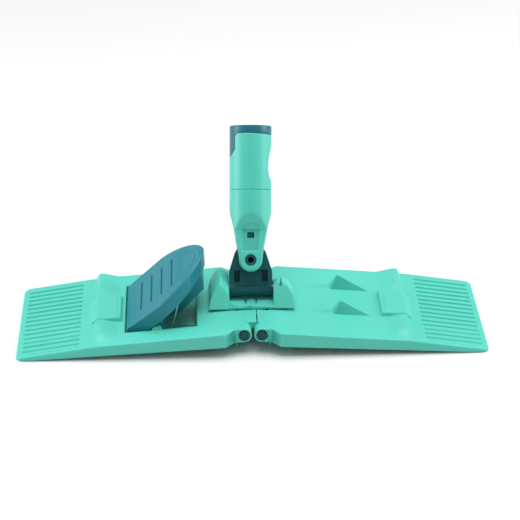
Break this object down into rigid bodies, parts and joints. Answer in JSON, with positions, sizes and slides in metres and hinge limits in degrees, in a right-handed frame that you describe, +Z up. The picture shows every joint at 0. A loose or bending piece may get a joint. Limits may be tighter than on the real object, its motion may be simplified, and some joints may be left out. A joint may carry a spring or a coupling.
{
  "type": "flat mop",
  "caption": "Folding flat mop frame: two geared hinged wings with ribbed tips, a foot pedal that lets them fold, and a swivelling yoke and socket for a pole.",
  "frame": {"origin": "centre of the overall box in plan, on the floor that the wing tips stand on", "axes": "+X to the right along the mop's length, +Y to the back, away from the front edge, +Z up"},
  "size_m": [0.419, 0.1493, 0.1733],
  "materials": {
    "turquoise": "satin moulded",
    "petrol": "satin moulded",
    "dark_petrol": "satin moulded",
    "pin_plastic": "satin moulded",
    "washer_plastic": "matt moulded",
    "steel": "zinc plated"
  },
  "bodies": {
    "centre": {"joint_bracket": "turquoise", "hinge_link": "turquoise", "left_hinge_pin": "pin_plastic", "right_hinge_pin": "pin_plastic", "hinge_pin_clips": "steel", "bracket_screws": "steel"},
    "left_wing": {"left_wing": "turquoise", "pedal_axle": "steel", "pedal_axle_clips": "steel", "pedal_springs": "steel"},
    "right_wing": {"right_wing": "turquoise"},
    "pedal": {"pedal": "petrol"},
    "yoke": {"yoke": "dark_petrol", "yoke_axle": "steel", "yoke_pin": "dark_petrol", "yoke_pin_clip": "steel", "friction_washers": "washer_plastic"},
    "socket": {"socket_fork": "turquoise", "socket_shell": "turquoise", "pole_liner": "petrol", "button_spring": "steel"},
    "button": {"release_button": "petrol"}
  },
  "joints": [
    {"name": "left_wing_fold", "type": "hinge", "parent": "centre", "child": "left_wing", "pos_m": [-0.00787, -0.00865, 0.01727], "axis": [0, 1, 0], "range_deg": [-80, 3]},
    {"name": "right_wing_fold", "type": "hinge", "parent": "centre", "child": "right_wing", "pos_m": [0.00787, -0.00865, 0.01727], "axis": [0, 1, 0], "range_deg": [-3, 80]},
    {"name": "pedal_press", "type": "hinge", "parent": "left_wing", "child": "pedal", "pos_m": [-0.08496, -0.00865, 0.01453], "axis": [0, 1, 0], "range_deg": [0, 12], "stiffness_Nm_per_rad": 1.5, "springref_deg": -20.05, "deforming": ["pedal_springs"]},
    {"name": "yoke_tilt", "type": "hinge", "parent": "centre", "child": "yoke", "pos_m": [0, -0.00865, 0.03447], "axis": [1, 0, 0], "range_deg": [-43, 82]},
    {"name": "socket_swing", "type": "hinge", "parent": "yoke", "child": "socket", "pos_m": [0, 0.00279, 0.05692], "axis": [0, -0.891, 0.454], "range_deg": [-63.8, 41.1]},
    {"name": "button_press", "type": "slide", "parent": "socket", "child": "button", "axis": [-0.9998, 0.0091, 0.0179], "range_m": [0, 0.0009], "stiffness_N_per_m": 3000, "springref_m": -0.0007, "deforming": ["button_spring"]}
  ],
  "couplings": [
    {"joint": "right_wing_fold", "follows": "left_wing_fold", "ratio": -1}
  ]
}
